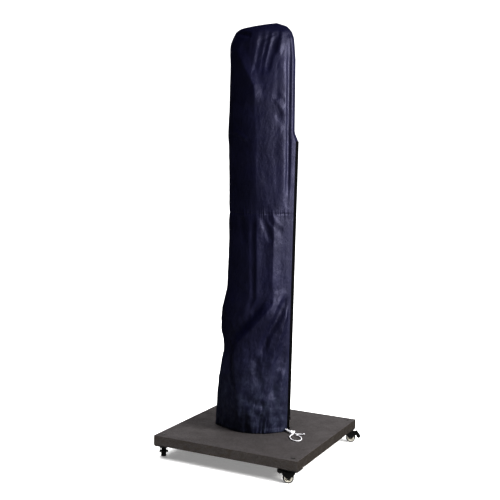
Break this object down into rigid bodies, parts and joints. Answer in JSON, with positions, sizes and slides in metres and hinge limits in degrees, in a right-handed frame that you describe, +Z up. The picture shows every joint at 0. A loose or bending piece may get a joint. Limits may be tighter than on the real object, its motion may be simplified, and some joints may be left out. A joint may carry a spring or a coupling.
{
  "type": "patio umbrella with base",
  "caption": "Folded side-pole patio umbrella inside a zipped fabric cover, on a square stone slab that rolls on swivel casters",
  "frame": {"origin": "on the floor under the middle of the square slab", "axes": "+Z up; X along the slab's front edge, towards the right; +Y towards the back edge. The two back casters and the front right one have a brake pedal. The umbrella and its cover stand turned 26.8 degrees about Z from these axes."},
  "size_m": [0.9884, 0.9151, 2.502],
  "materials": {
    "stone": "sawn and lightly textured dark granite",
    "black_steel": "black powder coat",
    "bright_steel": "zinc plated",
    "tread": "dull black",
    "nylon": "moulded, off white",
    "black_plastic": "moulded, fine texture",
    "grey_alloy": "anthracite powder coat",
    "canopy_cloth": "woven",
    "cover_cloth": "coated polyester weave",
    "zip_tape": "woven tape with moulded teeth",
    "cord": "braided",
    "white_plastic": "moulded"
  },
  "bodies": {
    "base": {"slab": "stone", "foot_flange": "black_steel", "swivel_bearing": "nylon", "foot_bolt_1": "bright_steel", "foot_bolt_2": "bright_steel", "foot_bolt_3": "bright_steel", "foot_bolt_4": "bright_steel", "caster_bolt_front_left": "black_steel", "caster_plate_front_left": "black_steel", "caster_bolt_front_right": "black_steel", "caster_plate_front_right": "black_steel", "caster_bolt_back_right": "black_steel", "caster_plate_back_right": "black_steel", "caster_bolt_back_left": "black_steel", "caster_plate_back_left": "black_steel"},
    "caster_front_left": {"caster_fork_front_left": "black_steel", "caster_axle_front_left": "bright_steel"},
    "wheel_front_left": {"caster_tyre_front_left": "tread", "caster_core_front_left": "nylon"},
    "caster_front_right": {"caster_fork_front_right": "black_steel", "caster_axle_front_right": "bright_steel"},
    "wheel_front_right": {"caster_tyre_front_right": "tread", "caster_core_front_right": "nylon"},
    "brake_front_right": {"brake_pedal_front_right": "black_plastic"},
    "caster_back_right": {"caster_fork_back_right": "black_steel", "caster_axle_back_right": "bright_steel"},
    "wheel_back_right": {"caster_tyre_back_right": "tread", "caster_core_back_right": "nylon"},
    "brake_back_right": {"brake_pedal_back_right": "black_plastic"},
    "caster_back_left": {"caster_fork_back_left": "black_steel", "caster_axle_back_left": "bright_steel"},
    "wheel_back_left": {"caster_tyre_back_left": "tread", "caster_core_back_left": "nylon"},
    "brake_back_left": {"brake_pedal_back_left": "black_plastic"},
    "umbrella": {"turntable": "black_steel", "mast_socket": "black_steel", "mast": "grey_alloy", "mast_cap": "black_plastic", "slider": "black_plastic", "boom_pin": "bright_steel", "crank_housing": "black_plastic", "boom": "grey_alloy", "stay_front": "grey_alloy", "stay_back": "grey_alloy", "stay_low_pin": "bright_steel", "stay_top_pin": "bright_steel", "boom_head": "black_plastic", "canopy_pole": "grey_alloy", "rib_set": "grey_alloy", "canopy": "canopy_cloth"},
    "turn_pedal": {"turn_pedal": "black_plastic"},
    "crank": {"crank_handle": "black_plastic"},
    "cover": {"cover": "cover_cloth", "zipper_tape": "zip_tape", "cord_lock_body": "white_plastic", "drawcord_long": "cord", "drawcord_short": "cord"},
    "zip_slider": {"zipper_slider": "black_steel"},
    "zip_pull": {"zipper_pull": "bright_steel"},
    "lock_button": {"cord_lock_button": "white_plastic"}
  },
  "joints": [
    {"name": "caster_swivel_front_left", "type": "hinge", "parent": "base", "child": "caster_front_left", "pos_m": [-0.408, -0.408, 0.065], "axis": [0, 0, 1], "continuous": true},
    {"name": "wheel_spin_front_left", "type": "hinge", "parent": "caster_front_left", "child": "wheel_front_left", "pos_m": [-0.42125, -0.3868, 0.029], "axis": [-0.848, -0.5299, 0], "continuous": true},
    {"name": "caster_swivel_front_right", "type": "hinge", "parent": "base", "child": "caster_front_right", "pos_m": [0.408, -0.408, 0.065], "axis": [0, 0, 1], "continuous": true},
    {"name": "wheel_spin_front_right", "type": "hinge", "parent": "caster_front_right", "child": "wheel_front_right", "pos_m": [0.38516, -0.41817, 0.029], "axis": [0.4067, -0.9135, 0], "continuous": true},
    {"name": "brake_press_front_right", "type": "hinge", "parent": "caster_front_right", "child": "brake_front_right", "pos_m": [0.36141, -0.42874, 0.055], "axis": [0.4067, -0.9135, 0], "range_deg": [0, 60]},
    {"name": "caster_swivel_back_right", "type": "hinge", "parent": "base", "child": "caster_back_right", "pos_m": [0.408, 0.408, 0.065], "axis": [0, 0, 1], "continuous": true},
    {"name": "wheel_spin_back_right", "type": "hinge", "parent": "caster_back_right", "child": "wheel_back_right", "pos_m": [0.43178, 0.41573, 0.029], "axis": [-0.309, 0.9511, 0], "continuous": true},
    {"name": "brake_press_back_right", "type": "hinge", "parent": "caster_back_right", "child": "brake_back_right", "pos_m": [0.4565, 0.42376, 0.055], "axis": [-0.309, 0.9511, 0], "range_deg": [-60, 0]},
    {"name": "caster_swivel_back_left", "type": "hinge", "parent": "base", "child": "caster_back_left", "pos_m": [-0.408, 0.408, 0.065], "axis": [0, 0, 1], "continuous": true},
    {"name": "wheel_spin_back_left", "type": "hinge", "parent": "caster_back_left", "child": "wheel_back_left", "pos_m": [-0.43178, 0.41573, 0.029], "axis": [-0.309, -0.9511, 0], "continuous": true},
    {"name": "brake_press_back_left", "type": "hinge", "parent": "caster_back_left", "child": "brake_back_left", "pos_m": [-0.4565, 0.42376, 0.055], "axis": [-0.309, -0.9511, 0], "range_deg": [-60, 0]},
    {"name": "umbrella_turn", "type": "hinge", "parent": "base", "child": "umbrella", "pos_m": [0, 0, 0.15], "axis": [0, 0, 1], "continuous": true},
    {"name": "turn_pedal_press", "type": "hinge", "parent": "umbrella", "child": "turn_pedal", "pos_m": [-0.07855, -0.03968, 0.1589], "axis": [-0.4509, 0.8926, 0], "range_deg": [-12, 0], "stiffness_Nm_per_rad": 2, "springref_deg": 2.86},
    {"name": "crank_turn", "type": "hinge", "parent": "umbrella", "child": "crank", "pos_m": [0.10175, 0.0514, 1.205], "axis": [0.8926, 0.4509, 0], "continuous": true},
    {"name": "cover_lift", "type": "slide", "parent": "umbrella", "child": "cover", "axis": [0, 0, 1], "range_m": [0, 2.36]},
    {"name": "zip_slide", "type": "slide", "parent": "cover", "child": "zip_slider", "axis": [0.0068, 0.0034, 1], "range_m": [0, 1.59]},
    {"name": "zip_pull_swing", "type": "hinge", "parent": "zip_slider", "child": "zip_pull", "pos_m": [0.19143, 0.02213, 0.21144], "axis": [-0.0906, -0.9959, 0.0041], "range_deg": [0, 120]},
    {"name": "lock_button_press", "type": "slide", "parent": "cover", "child": "lock_button", "axis": [0.3778, 0.9259, 0], "range_m": [-0.0028, 0], "stiffness_N_per_m": 300, "springref_m": 0.002}
  ]
}
